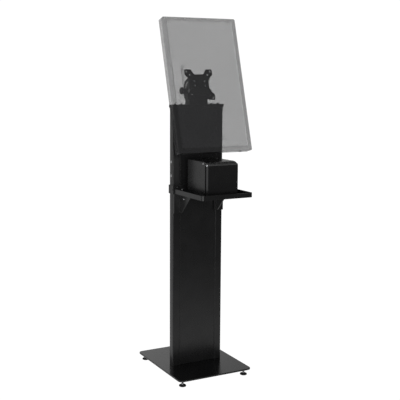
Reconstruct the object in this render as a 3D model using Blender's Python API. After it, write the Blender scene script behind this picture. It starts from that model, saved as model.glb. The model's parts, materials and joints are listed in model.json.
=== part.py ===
"""Self-service kiosk: floor plate, slim column, shelf with a receipt printer, tilting touch display.

Metres, +Z up. X runs along the front of the column and the front faces -Y. The floor is z = 0 and
the origin is under the middle of the whole kiosk.
"""
import math

import bmesh
import bpy
from mathutils import Matrix, Vector

MM = 0.001
GAP = 0.3 * MM                   # clearance between neighbouring solids
SCREW_HOLE = 2.4 * MM            # clearance radius of an M4 screw

# Floor plate and its feet
BASE_WIDTH = 310 * MM
BASE_FRONT = -150 * MM
BASE_REAR = 215.5 * MM
BASE_THICK = 6 * MM
BASE_TOP = 29 * MM
BASE_CORNER = 16 * MM
FOOT_INSET = 23 * MM
PAD_RADIUS = 13.5 * MM
PAD_HEIGHT = 6 * MM
STEM_RADIUS = 4 * MM

# Column
COLUMN_WIDTH = 212 * MM
COLUMN_FRONT = 4 * MM
COLUMN_DEPTH = 27 * MM
COLUMN_REAR = COLUMN_FRONT + COLUMN_DEPTH
COLUMN_MIDDLE = COLUMN_FRONT + COLUMN_DEPTH / 2
COLUMN_BOLT_HOLE = 4.4 * MM      # clearance radius of an M8 bolt
UPRIGHT_WIDTH = 29 * MM
TUBE_WALL = 2.5 * MM
GROOVE = 2.5 * MM                # open line between an upright and the panel
PANEL_THICK = 2 * MM
PANEL_RECESS = 0.8 * MM
CAP_TOP = 1029 * MM
CAP_HEIGHT = 11 * MM
CAP_OVERHANG = 3 * MM
RAIL_SIZE = 20 * MM

# Shelf and its brackets
SHELF_WIDTH = 210 * MM
SHELF_FRONT = -215.5 * MM
SHELF_REAR = -7 * MM
SHELF_RIM_TOP = 718.5 * MM
SHELF_RIM = 17 * MM              # outside height of the rim
SHELF_SHEET = 2 * MM
SHELF_CORNER = 9 * MM
SHELF_BOTTOM = SHELF_RIM_TOP - SHELF_RIM
SHELF_FLOOR = SHELF_BOTTOM + SHELF_SHEET
BRACKET_X = 77 * MM              # middle of a gusset plate
GUSSET_THICK = 4 * MM
GUSSET_TOE = 3 * MM              # height of the gusset's free end
BRACKET_BOTTOM = 626 * MM
BRACKET_TOP = 731 * MM
FLANGE_FRONT = -5 * MM
FLANGE_OUTER = 105.5 * MM
FLANGE_INNER = 67 * MM
FLANGE_SHEET = 3 * MM
STRAP_THICK = 3.5 * MM
STRAP_BOTTOM = 699 * MM
BRACKET_SCREW_X = 91 * MM
BRACKET_SCREW_Z = 724 * MM
STRAP_SCREW_Y = -1 * MM
STRAP_SCREW_Z = STRAP_BOTTOM + 16 * MM

# Receipt printer
PRINTER_WIDTH = 123 * MM
PRINTER_FRONT = -181.5 * MM
PRINTER_REAR = -29 * MM
PRINTER_TOP = 830 * MM
PRINTER_WALL = 2 * MM
CASING_FRONT = -158 * MM
COVER_RETURN = 13 * MM           # depth of the front cover's side returns
NOSE_RADIUS = 53 * MM            # curved slope from the top down to the front
NOSE_DEPTH = 33 * MM
COVER_BOTTOM = SHELF_FLOOR + 3.5 * MM
SLOT_FRONT = -129 * MM           # paper slot in the top
SLOT_REAR = -121 * MM
COVER_AXIS = Vector((0, -174 * MM, SHELF_FLOOR + 11.5 * MM))
HINGE_RADIUS = 2.5 * MM
PLATEN_AXIS = Vector((0, -137 * MM, 812 * MM))
PLATEN_RADIUS = 7 * MM
ROLL_AXIS = Vector((0, -88 * MM, 770 * MM))
ROLL_RADIUS = 36 * MM
PAPER_WIDTH = 79.5 * MM

# Tilting head. Its parts are described upright around the pivot, then leant back by HEAD_TILT.
PIVOT = Vector((0, -4 * MM, 1079 * MM))
HEAD_TILT = math.radians(15.85)
HEAD_HALF = 42 * MM              # outside of the tilting cheeks
CHEEK = 3 * MM
CHEEK_RADIUS = 49 * MM
LOCK_ARM = 37 * MM               # from the pivot to the lock bolt
LOCK_RADIUS = 3 * MM
PIVOT_RADIUS = 3 * MM
PIVOT_LOBE = 6.4 * MM            # eye of the fixed cheeks around the pivot
WEB_FOOT = 9.8 * MM              # lower edge of the moving web, from the pivot
VESA_FACE = -9.5 * MM            # front of the mounting plate, from the pivot
VESA_HEIGHT = 21.2 * MM          # middle of the mounting plate, from the pivot
VESA_THICK = 2.5 * MM
VESA_PITCH = 100 * MM
VESA_SMALL_PITCH = 75 * MM
VESA_HOLE = 2.75 * MM            # radius of the mounting plate's holes
HEAD_BEND = 4 * MM               # outside radius of the tilting bracket's folds
HEAD_WEB = 36 * MM               # height of the fixed bracket's front web

# Display, in the head's own upright frame
DISPLAY_WIDTH = 304 * MM
DISPLAY_HEIGHT = 500 * MM
DISPLAY_DEPTH = 30 * MM
DISPLAY_FACE = VESA_FACE - 56 * MM
DISPLAY_MIDDLE = VESA_HEIGHT - 14.2 * MM
DISPLAY_CORNER = 6 * MM
BEZEL_SIDE = 16.5 * MM
BEZEL_TOP = 13.5 * MM
BEZEL_BOTTOM = 17.5 * MM
BEZEL_DEPTH = 8 * MM
BEZEL_LIP = 1.5 * MM             # thickness of the lip in front of the glass
GLASS_LAP = 2.5 * MM             # how far the glass reaches behind the lip
GLASS_THICK = 3 * MM
LCD_LAP = 0.6 * MM
LCD_THICK = 9 * MM
HUMP_WIDTH = 150 * MM
HUMP_HEIGHT = 150 * MM
BOSS_HEIGHT = 4 * MM

# Finishes: name -> (colour, roughness, metallic)
FINISHES = {
    "powder_black": ((0.012, 0.012, 0.013), 0.32, 0.0),
    "panel_black": ((0.014, 0.014, 0.015), 0.30, 0.0),
    "plate_black": ((0.016, 0.016, 0.017), 0.22, 0.0),
    "rubber_black": ((0.012, 0.012, 0.012), 0.65, 0.0),
    "plastic_black": ((0.015, 0.015, 0.016), 0.35, 0.0),
    "screen_grey": ((0.055, 0.055, 0.058), 0.15, 0.0),
    "zinc": ((0.62, 0.62, 0.63), 0.30, 1.0),
    "steel": ((0.45, 0.45, 0.46), 0.28, 1.0),
    "paper": ((0.82, 0.81, 0.78), 0.85, 0.0),
    "board_green": ((0.02, 0.10, 0.05), 0.45, 0.0),
}


def clear_scene():
    for obj in list(bpy.data.objects):
        bpy.data.objects.remove(obj)


def finish_of(name, finish):
    colour, roughness, metallic = FINISHES[finish]
    material = bpy.data.materials.new(name)
    material.use_nodes = True
    shader = material.node_tree.nodes["Principled BSDF"]
    shader.inputs["Base Color"].default_value = (*colour, 1.0)
    shader.inputs["Roughness"].default_value = roughness
    shader.inputs["Metallic"].default_value = metallic
    return material


def add_object(name, mesh, finish, parent=None):
    obj = bpy.data.objects.new(name, mesh)
    bpy.context.scene.collection.objects.link(obj)
    mesh.materials.append(finish_of(name, finish))
    if parent is not None:
        obj.parent = parent
    return obj


def add_empty(name, place, tilt=0.0, parent=None):
    empty = bpy.data.objects.new(name, None)
    empty.location = place
    empty.rotation_euler = (-tilt, 0, 0)
    bpy.context.scene.collection.objects.link(empty)
    if parent is not None:
        empty.parent = parent
    return empty


def mesh_from(bm, smooth=True):
    bmesh.ops.recalc_face_normals(bm, faces=bm.faces)
    mesh = bpy.data.meshes.new("shape")
    bm.to_mesh(mesh)
    bm.free()
    if smooth:
        mesh.shade_smooth()
        mesh.set_sharp_from_angle(angle=math.radians(35))
    return mesh


def box_mesh(low, high):
    bm = bmesh.new()
    low = Vector(low)
    high = Vector(high)
    bmesh.ops.create_cube(bm, size=1.0)
    bmesh.ops.scale(bm, vec=high - low, verts=bm.verts)
    bmesh.ops.translate(bm, vec=(high + low) / 2, verts=bm.verts)
    return mesh_from(bm, smooth=False)


def prism_mesh(outline, axis, start, stop):
    """A closed outline pushed along an axis. X: points are (y, z). Y: (x, z). Z: (x, y)."""
    bm = bmesh.new()
    orders = {
        "X": lambda a, b, along: (along, a, b),
        "Y": lambda a, b, along: (a, along, b),
        "Z": lambda a, b, along: (a, b, along),
    }
    order = orders[axis]
    verts = [bm.verts.new(order(a, b, start)) for a, b in outline]
    face = bm.faces.new(verts)
    pushed = bmesh.ops.extrude_face_region(bm, geom=[face])
    moved = [item for item in pushed["geom"] if isinstance(item, bmesh.types.BMVert)]
    bmesh.ops.translate(bm, vec=order(0, 0, stop - start), verts=moved)
    return mesh_from(bm)


def turned_mesh(profile, axis, centre, steps=24):
    """A profile of (radius, distance) turned about an axis through centre. The ends lie on the axis."""
    bm = bmesh.new()
    points = [bm.verts.new((radius, 0, along)) for radius, along in profile]
    edges = [bm.edges.new(pair) for pair in zip(points, points[1:])]
    bmesh.ops.spin(bm, geom=points + edges, cent=(0, 0, 0), axis=(0, 0, 1), angle=math.tau, steps=steps)
    bmesh.ops.remove_doubles(bm, verts=bm.verts, dist=0.00001)
    turns = {
        "X": Matrix.Rotation(math.pi / 2, 4, "Y"),
        "Y": Matrix.Rotation(-math.pi / 2, 4, "X"),
        "Z": Matrix(),
    }
    bmesh.ops.transform(bm, matrix=Matrix.Translation(centre) @ turns[axis], verts=bm.verts)
    return mesh_from(bm)


def rod_mesh(radius, start, stop, axis, centre, steps=24):
    """A plain round bar from start to stop along an axis; centre gives the other two coordinates."""
    return turned_mesh([(0, start), (radius, start), (radius, stop), (0, stop)], axis, centre, steps)


def arc_points(centre, radius, first, last, steps):
    """Points of an arc in a plane, angles in degrees."""
    angles = [math.radians(first + (last - first) * step / steps) for step in range(steps + 1)]
    return [(centre[0] + radius * math.cos(a), centre[1] + radius * math.sin(a)) for a in angles]


def rounded_outline(low, high, radius, steps=6):
    corners = (
        ((high[0] - radius, high[1] - radius), 0),
        ((low[0] + radius, high[1] - radius), 90),
        ((low[0] + radius, low[1] + radius), 180),
        ((high[0] - radius, low[1] + radius), 270),
    )
    outline = []
    for centre, first in corners:
        outline += arc_points(centre, radius, first, first + 90, steps)
    return outline


def add_bevel(obj, width, segments=2):
    bevel = obj.modifiers.new("bevel", "BEVEL")
    bevel.width = width
    bevel.segments = segments
    bevel.limit_method = "ANGLE"
    bevel.angle_limit = math.radians(40)


def combine(obj, mesh, operation):
    """Cut or join another solid. The tool object is only a guide and is not part of the kiosk."""
    tool = bpy.data.objects.new("guide", mesh)
    bpy.context.scene.collection.objects.link(tool)
    tool.parent = obj.parent
    tool.hide_render = True
    tool.display_type = "WIRE"
    change = obj.modifiers.new(operation.lower(), "BOOLEAN")
    change.operation = operation
    change.solver = "EXACT"
    change.object = tool


def cut(obj, mesh):
    combine(obj, mesh, "DIFFERENCE")


def join(obj, mesh):
    combine(obj, mesh, "UNION")


def keep_inside(obj, mesh):
    combine(obj, mesh, "INTERSECT")


def button_screw(name, axis, centre, seat, inward, head, shank, parent=None, finish="zinc"):
    """A round-headed screw, sizes in mm. Its shank runs from the seat along axis times inward (1 or -1)."""
    head_radius = head[0] * MM
    crown = seat - inward * head[1] * MM
    shoulder = seat - inward * head[1] * 0.55 * MM
    underside = seat - inward * GAP
    shank_radius = shank[0] * MM
    tip = seat + inward * shank[1] * MM
    profile = [
        (0, crown),
        (head_radius * 0.6, crown + inward * 0.08 * head[1] * MM),
        (head_radius * 0.92, shoulder),
        (head_radius, underside),
        (shank_radius, underside),
        (shank_radius, tip),
        (0, tip),
    ]
    return add_object(name, turned_mesh(profile, axis, centre, 12), finish, parent)


# ---------------------------------------------------------------- floor plate and feet

def foot_places():
    for depth_name, y in (("front", BASE_FRONT + FOOT_INSET), ("rear", BASE_REAR - FOOT_INSET)):
        for side_name, x in (("left", -1), ("right", 1)):
            yield f"{depth_name}_{side_name}", Vector((x * (BASE_WIDTH / 2 - FOOT_INSET), y, 0))


def make_base():
    low = (-BASE_WIDTH / 2, BASE_FRONT)
    high = (BASE_WIDTH / 2, BASE_REAR)
    mesh = prism_mesh(rounded_outline(low, high, BASE_CORNER), "Z", BASE_TOP - BASE_THICK, BASE_TOP)
    plate = add_object("base_plate", mesh, "plate_black")
    add_bevel(plate, 1.2 * MM)
    for _, place in foot_places():
        cut(plate, rod_mesh(STEM_RADIUS + GAP, 0, BASE_TOP - 1 * MM, "Z", place, 16))
    for x in column_bolt_places():
        cut(plate, rod_mesh(COLUMN_BOLT_HOLE, 0, BASE_TOP + 5 * MM, "Z", (x, COLUMN_MIDDLE, 0), 16))


def make_feet():
    for name, place in foot_places():
        empty = add_empty(f"axis_foot_{name}", place)
        pad = [
            (0, 0),
            (PAD_RADIUS - 1 * MM, 0),
            (PAD_RADIUS, 1 * MM),
            (PAD_RADIUS, PAD_HEIGHT - 2 * MM),
            (PAD_RADIUS - 3 * MM, PAD_HEIGHT),
            (STEM_RADIUS + GAP, PAD_HEIGHT),
            (STEM_RADIUS + GAP, 3 * MM),
            (0, 3 * MM),
        ]
        add_object(f"foot_pad_{name}", turned_mesh(pad, "Z", (0, 0, 0), 18), "rubber_black", empty)
        stem_top = BASE_TOP - BASE_THICK + 2.2 * MM
        stem = [
            (0, 3 * MM + GAP),
            (STEM_RADIUS, 3 * MM + GAP),
            (STEM_RADIUS, stem_top - 0.8 * MM),
            (STEM_RADIUS - 0.8 * MM, stem_top),
            (0, stem_top),
        ]
        add_object(f"foot_stem_{name}", turned_mesh(stem, "Z", (0, 0, 0), 12), "steel", empty)


# ---------------------------------------------------------------- column

def column_bolt_places():
    middle = COLUMN_WIDTH / 2 - UPRIGHT_WIDTH / 2
    return (-middle, middle)


def upright_mesh(x, shrink, start, stop):
    low = (x - UPRIGHT_WIDTH / 2 + shrink, COLUMN_FRONT + shrink)
    high = (x + UPRIGHT_WIDTH / 2 - shrink, COLUMN_REAR - shrink)
    return prism_mesh(rounded_outline(low, high, 2.5 * MM - shrink * 0.6, 3), "Z", start, stop)


def make_uprights():
    bottom = BASE_TOP + GAP
    top = CAP_TOP - CAP_HEIGHT - GAP
    for name, x in zip(("left", "right"), column_bolt_places()):
        tube = add_object(f"upright_{name}", upright_mesh(x, 0, bottom, top), "powder_black")
        cut(tube, upright_mesh(x, TUBE_WALL, bottom + 12 * MM, top + 5 * MM))
        cut(tube, rod_mesh(COLUMN_BOLT_HOLE, 0, bottom + 8 * MM, "Z", (x, COLUMN_MIDDLE, 0), 16))


def make_column_bolts():
    for name, x in zip(("left", "right"), column_bolt_places()):
        place = (x, COLUMN_MIDDLE, 0)
        seat = BASE_TOP - BASE_THICK
        button_screw(f"column_bolt_{name}", "Z", place, seat, 1, (8, 5), (4, 13), finish="steel")


def make_panels():
    half = COLUMN_WIDTH / 2 - UPRIGHT_WIDTH - GROOVE
    bottom = BASE_TOP + GAP
    top = CAP_TOP - CAP_HEIGHT - GAP
    front = COLUMN_FRONT + PANEL_RECESS
    rear = COLUMN_REAR - PANEL_RECESS
    for name, near in (("front_panel", front), ("rear_panel", rear - PANEL_THICK)):
        mesh = box_mesh((-half, near, bottom), (half, near + PANEL_THICK, top))
        panel = add_object(name, mesh, "panel_black")
        add_bevel(panel, 0.5 * MM, 1)


def make_cross_rails():
    half = COLUMN_WIDTH / 2 - UPRIGHT_WIDTH - GAP
    front = COLUMN_FRONT + PANEL_RECESS + PANEL_THICK + GAP
    rear = COLUMN_REAR - PANEL_RECESS - PANEL_THICK - GAP
    levels = (("lower", 60 * MM), ("middle", SHELF_RIM_TOP - 45 * MM), ("upper", CAP_TOP - 45 * MM))
    for name, z in levels:
        low = (front, z)
        high = (rear, z + RAIL_SIZE)
        mesh = prism_mesh(rounded_outline(low, high, 2 * MM, 3), "X", -half, half)
        rail = add_object(f"cross_rail_{name}", mesh, "powder_black")
        inner_low = (front + TUBE_WALL, z + TUBE_WALL)
        inner_high = (rear - TUBE_WALL, z + RAIL_SIZE - TUBE_WALL)
        hollow = rounded_outline(inner_low, inner_high, 1 * MM, 2)
        cut(rail, prism_mesh(hollow, "X", -half - GAP, half + GAP))


def cap_screw_places():
    for side_name, side in (("left", -1), ("right", 1)):
        yield f"outer_{side_name}", side * 91 * MM
        yield f"inner_{side_name}", side * 64 * MM


def make_top_cap():
    low = (-COLUMN_WIDTH / 2 - CAP_OVERHANG, COLUMN_FRONT - CAP_OVERHANG)
    high = (COLUMN_WIDTH / 2 + CAP_OVERHANG, COLUMN_REAR + CAP_OVERHANG)
    outline = rounded_outline(low, high, 4 * MM, 4)
    cap = add_object("top_cap", prism_mesh(outline, "Z", CAP_TOP - CAP_HEIGHT, CAP_TOP), "powder_black")
    add_bevel(cap, 1 * MM)
    for name, x in cap_screw_places():
        place = (x, COLUMN_MIDDLE, 0)
        cut(cap, rod_mesh(SCREW_HOLE, CAP_TOP - 9 * MM, CAP_TOP + 5 * MM, "Z", place, 12))
        button_screw(f"cap_screw_{name}", "Z", place, CAP_TOP, -1, (5, 4), (2, 8))


# ---------------------------------------------------------------- shelf

def tray_outline(inset, rear):
    """The shelf from above: round front corners, a straight rear edge."""
    half = SHELF_WIDTH / 2
    front = SHELF_FRONT + SHELF_CORNER
    radius = SHELF_CORNER - inset
    left = arc_points((-half + SHELF_CORNER, front), radius, 180, 270, 6)
    right = arc_points((half - SHELF_CORNER, front), radius, 270, 360, 6)
    return left + right + [(half - inset, rear), (-half + inset, rear)]


def make_shelf_tray():
    """A folded tray whose rim stands up at the front and the sides and is open at the rear."""
    mesh = prism_mesh(tray_outline(0, SHELF_REAR), "Z", SHELF_BOTTOM, SHELF_RIM_TOP)
    tray = add_object("shelf_tray", mesh, "powder_black")
    inside = tray_outline(SHELF_SHEET, SHELF_REAR + 10 * MM)
    cut(tray, prism_mesh(inside, "Z", SHELF_FLOOR, SHELF_RIM_TOP + 10 * MM))


def make_shelf_brackets():
    """A channel over the face of each upright, with a gusset plate that runs under the shelf."""
    under = SHELF_BOTTOM - GAP
    behind = COLUMN_FRONT - GAP
    step = -14 * MM
    heel = BRACKET_BOTTOM + 3 * MM
    toe = step - (under - GUSSET_TOE - heel)
    gusset = [
        (behind, BRACKET_BOTTOM),
        (step, BRACKET_BOTTOM),
        (step, heel),
        (toe, under - GUSSET_TOE),
        (toe, under),
        (SHELF_REAR + GAP, under),
        (SHELF_REAR + GAP, BRACKET_TOP),
        (behind, BRACKET_TOP),
    ]
    for name, side in (("left", -1), ("right", 1)):
        middle = side * BRACKET_X
        mesh = prism_mesh(gusset, "X", middle - GUSSET_THICK / 2, middle + GUSSET_THICK / 2)
        bracket = add_object(f"shelf_bracket_{name}", mesh, "powder_black")
        inner = side * FLANGE_INNER
        outer = side * FLANGE_OUTER
        edge = side * (FLANGE_OUTER - FLANGE_SHEET)
        back = FLANGE_FRONT + FLANGE_SHEET
        for x_near, y_far in ((inner, back), (edge, behind)):
            low = (min(x_near, outer), FLANGE_FRONT, BRACKET_BOTTOM)
            high = (max(x_near, outer), y_far, BRACKET_TOP)
            join(bracket, box_mesh(low, high))
        place = (side * BRACKET_SCREW_X, 0, BRACKET_SCREW_Z)
        cut(bracket, rod_mesh(SCREW_HOLE, FLANGE_FRONT - 5 * MM, back + 5 * MM, "Y", place, 16))
        start = side * (FLANGE_OUTER - 8 * MM)
        stop = side * (FLANGE_OUTER + 5 * MM)
        cut(bracket, rod_mesh(SCREW_HOLE, start, stop, "X", (0, STRAP_SCREW_Y, STRAP_SCREW_Z), 16))


def make_bracket_screws():
    for name, side in (("left", -1), ("right", 1)):
        place = (side * BRACKET_SCREW_X, 0, BRACKET_SCREW_Z)
        button_screw(f"bracket_screw_{name}", "Y", place, FLANGE_FRONT, 1, (4.5, 2.6), (2, 8.4))


def make_clamp_strap():
    inner = COLUMN_WIDTH / 2 + GAP
    outer = inner + STRAP_THICK
    rear = COLUMN_REAR + GAP
    outline = [
        (-outer, FLANGE_FRONT),
        (-inner, FLANGE_FRONT),
        (-inner, rear),
        (inner, rear),
        (inner, FLANGE_FRONT),
        (outer, FLANGE_FRONT),
    ]
    corner = 4 * MM
    outline += arc_points((outer - corner, rear + STRAP_THICK - corner), corner, 0, 90, 4)
    outline += arc_points((-outer + corner, rear + STRAP_THICK - corner), corner, 90, 180, 4)
    mesh = prism_mesh(outline, "Z", STRAP_BOTTOM, BRACKET_TOP)
    strap = add_object("shelf_clamp_strap", mesh, "powder_black")
    place = (0, STRAP_SCREW_Y, STRAP_SCREW_Z)
    cut(strap, rod_mesh(SCREW_HOLE, -outer - GAP, outer + GAP, "X", place, 16))
    for name, inward in (("left", 1), ("right", -1)):
        button_screw(f"strap_screw_{name}", "X", place, -inward * outer, inward, (4, 2), (2, 6.5))


# ---------------------------------------------------------------- receipt printer

def make_printer_casing():
    half = PRINTER_WIDTH / 2
    bottom = SHELF_FLOOR + GAP
    wall = PRINTER_WALL
    under_cover = PRINTER_TOP - wall - GAP
    side_view = [
        (PRINTER_REAR, bottom),
        (CASING_FRONT, bottom),
        (CASING_FRONT, under_cover - 1.5 * MM),
        (CASING_FRONT + 8 * MM, under_cover),
        (SLOT_REAR, under_cover),
        (SLOT_REAR, PRINTER_TOP),
        (PRINTER_REAR - 3 * MM, PRINTER_TOP),
        (PRINTER_REAR, PRINTER_TOP - 3 * MM),
    ]
    casing = add_object("printer_casing", prism_mesh(side_view, "X", -half, half), "plastic_black")
    low = (-half + wall, CASING_FRONT - 10 * MM, bottom + wall)
    high = (half - wall, PRINTER_REAR - wall, PRINTER_TOP - wall)
    cut(casing, box_mesh(low, high))
    low = (-half + wall, CASING_FRONT - 10 * MM, PRINTER_TOP - 4 * MM)
    high = (half - wall, SLOT_REAR - wall, PRINTER_TOP + 10 * MM)
    cut(casing, box_mesh(low, high))
    button_place = (half - 18 * MM, -60 * MM)
    hole = rod_mesh(5.4 * MM, PRINTER_TOP - 10 * MM, PRINTER_TOP + 10 * MM, "Z", (*button_place, 0))
    cut(casing, hole)
    make_feed_button(button_place)


def make_feed_button(place):
    top = PRINTER_TOP + 1.8 * MM
    profile = [
        (0, top - 8 * MM),
        (6.5 * MM, top - 8 * MM),
        (6.5 * MM, top - 6.5 * MM),
        (5 * MM, top - 6.5 * MM),
        (5 * MM, top - 0.8 * MM),
        (4.2 * MM, top),
        (0, top),
    ]
    add_object("feed_button", turned_mesh(profile, "Z", (*place, 0)), "steel")


def make_printer_frame():
    """Inner chassis: two side plates on a floor, with ears for the pin that the cover swings around."""
    half = PRINTER_WIDTH / 2 - PRINTER_WALL - 1.2 * MM
    ear = 5.1 * MM
    front = COVER_AXIS.y - ear
    rear = PRINTER_REAR - PRINTER_WALL - 2 * MM
    bottom = SHELF_FLOOR + PRINTER_WALL + 2 * GAP
    top = PRINTER_TOP - PRINTER_WALL - 6 * MM
    side_view = [(rear, bottom), (COVER_AXIS.y + 13 * MM, bottom)]
    side_view += arc_points((COVER_AXIS.y, COVER_AXIS.z), ear, -40, -180, 8)
    side_view += [(front, top - 26 * MM), (front + 18 * MM, top), (rear, top)]
    frame = add_object("printer_frame", prism_mesh(side_view, "X", -half, half), "powder_black")
    plate = 1.6 * MM
    low = (-half + plate, front - 20 * MM, bottom + plate)
    high = (half - plate, rear + 20 * MM, top + 20 * MM)
    cut(frame, box_mesh(low, high))
    for axis, radius in ((PLATEN_AXIS, 3 * MM), (ROLL_AXIS, 5 * MM), (COVER_AXIS, HINGE_RADIUS)):
        cut(frame, rod_mesh(radius + GAP, -half - 5 * MM, half + 5 * MM, "X", (0, axis.y, axis.z)))


def nose_outline(inset, near, far):
    """Side view of the cover's curved slope, offset inwards by inset, between two depths."""
    radius = NOSE_RADIUS - inset
    first = 90 + math.degrees(math.asin((NOSE_DEPTH - near) / radius))
    last = 90 + math.degrees(math.asin((NOSE_DEPTH - far) / radius))
    return arc_points((PRINTER_FRONT + NOSE_DEPTH, PRINTER_TOP - NOSE_RADIUS), radius, first, last, 8)


def make_front_cover(axis):
    """Front, curved slope and top strip in one shell with narrow side returns, swinging on the pin."""
    half = PRINTER_WIDTH / 2
    wall = PRINTER_WALL
    back = PRINTER_FRONT + COVER_RETURN
    below = COVER_BOTTOM - 5 * MM
    side_view = [(PRINTER_FRONT, COVER_BOTTOM)] + nose_outline(0, 0, NOSE_DEPTH)
    side_view += [(SLOT_FRONT, PRINTER_TOP), (SLOT_FRONT, PRINTER_TOP - wall)]
    side_view += nose_outline(wall, NOSE_DEPTH, COVER_RETURN) + [(back, COVER_BOTTOM)]
    hollow = [(PRINTER_FRONT + wall, below)] + nose_outline(wall, wall, COVER_RETURN)
    hollow += [(back + 5 * MM, hollow[-1][1] - 3 * MM), (back + 5 * MM, below)]
    shift = Matrix.Translation(-COVER_AXIS)
    mesh = prism_mesh(side_view, "X", -half, half)
    mesh.transform(shift)
    cover = add_object("printer_front_cover", mesh, "plastic_black", axis)
    mesh = prism_mesh(hollow, "X", -half + wall, half - wall)
    mesh.transform(shift)
    cut(cover, mesh)
    cut(cover, rod_mesh(HINGE_RADIUS + GAP, -half - 5 * MM, half + 5 * MM, "X", (0, 0, 0)))


def make_hinge_pin():
    half = PRINTER_WIDTH / 2 - 0.4 * MM
    add_object("cover_hinge_pin", rod_mesh(HINGE_RADIUS, -half, half, "X", COVER_AXIS, 16), "steel")


def make_paper_path(platen_axis, roll_axis):
    half = PRINTER_WIDTH / 2 - PRINTER_WALL - 1.2 * MM
    roller_half = PAPER_WIDTH / 2 + 2 * MM
    platen = [
        (0, -half - 0.6 * MM),
        (3 * MM, -half - 0.6 * MM),
        (3 * MM, -roller_half),
        (PLATEN_RADIUS, -roller_half),
        (PLATEN_RADIUS, roller_half),
        (3 * MM, roller_half),
        (3 * MM, half + 0.6 * MM),
        (0, half + 0.6 * MM),
    ]
    add_object("platen_roller", turned_mesh(platen, "X", (0, 0, 0)), "rubber_black", platen_axis)
    spindle = rod_mesh(5 * MM, -half - 0.6 * MM, half + 0.6 * MM, "X", (0, ROLL_AXIS.y, ROLL_AXIS.z))
    add_object("paper_spindle", spindle, "plastic_black")
    mesh = rod_mesh(ROLL_RADIUS, -PAPER_WIDTH / 2, PAPER_WIDTH / 2, "X", (0, 0, 0), 40)
    roll = add_object("paper_roll", mesh, "paper", roll_axis)
    cut(roll, rod_mesh(5 * MM + 2 * GAP, -PAPER_WIDTH, PAPER_WIDTH, "X", (0, 0, 0)))


def make_print_mechanism():
    half = PAPER_WIDTH / 2 + 2 * MM
    face = PLATEN_AXIS.y + PLATEN_RADIUS + GAP
    width = PRINTER_WIDTH / 2 - PRINTER_WALL - 3.1 * MM
    low = (-width, face, PLATEN_AXIS.z - 7 * MM)
    high = (width, face + 9 * MM, PLATEN_AXIS.z + 4 * MM)
    head = add_object("print_head", box_mesh(low, high), "steel")
    add_bevel(head, 0.8 * MM, 1)
    blade = [
        (SLOT_REAR + 1 * MM, PLATEN_AXIS.z + 5 * MM),
        (SLOT_REAR + 9 * MM, PLATEN_AXIS.z + 5 * MM),
        (SLOT_REAR + 9 * MM, PLATEN_AXIS.z + 8 * MM),
        (SLOT_REAR + 3 * MM, PLATEN_AXIS.z + 8 * MM),
    ]
    add_object("cutter_blade", prism_mesh(blade, "X", -half, half), "steel")


# ---------------------------------------------------------------- tilting head

def make_head_base():
    """Fixed U bracket on the cap: floor, two cheeks that carry the pivot and the lock bolt, front web."""
    outer = HEAD_HALF - CHEEK - GAP
    floor = CAP_TOP + GAP
    front = COLUMN_FRONT - 2 * MM
    rear = COLUMN_REAR + 4 * MM
    lock = (PIVOT.y + LOCK_ARM, PIVOT.z)
    side_view = [(front, floor), (rear, floor), (rear, floor + 24 * MM)]
    side_view += arc_points(lock, 8 * MM, -20, 80, 6)
    side_view += [(PIVOT.y + 18 * MM, PIVOT.z + 5 * MM)]
    side_view += arc_points((PIVOT.y, PIVOT.z), PIVOT_LOBE, 75, 200, 8)
    side_view += [(front, floor + HEAD_WEB)]
    base = add_object("head_base", prism_mesh(side_view, "X", -outer, outer), "powder_black")
    low = (-outer + CHEEK, front + CHEEK, floor + CHEEK)
    high = (outer - CHEEK, rear + 40 * MM, PIVOT.z + 40 * MM)
    cut(base, box_mesh(low, high))
    low = (-outer + CHEEK, front - 30 * MM, floor + HEAD_WEB)
    high = (outer - CHEEK, rear + 40 * MM, PIVOT.z + 40 * MM)
    cut(base, box_mesh(low, high))
    reach = HEAD_HALF + 5 * MM
    cut(base, rod_mesh(PIVOT_RADIUS + GAP, -reach, reach, "X", (0, PIVOT.y, PIVOT.z)))
    cut(base, rod_mesh(LOCK_RADIUS + GAP, -reach, reach, "X", (0, *lock)))


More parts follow.
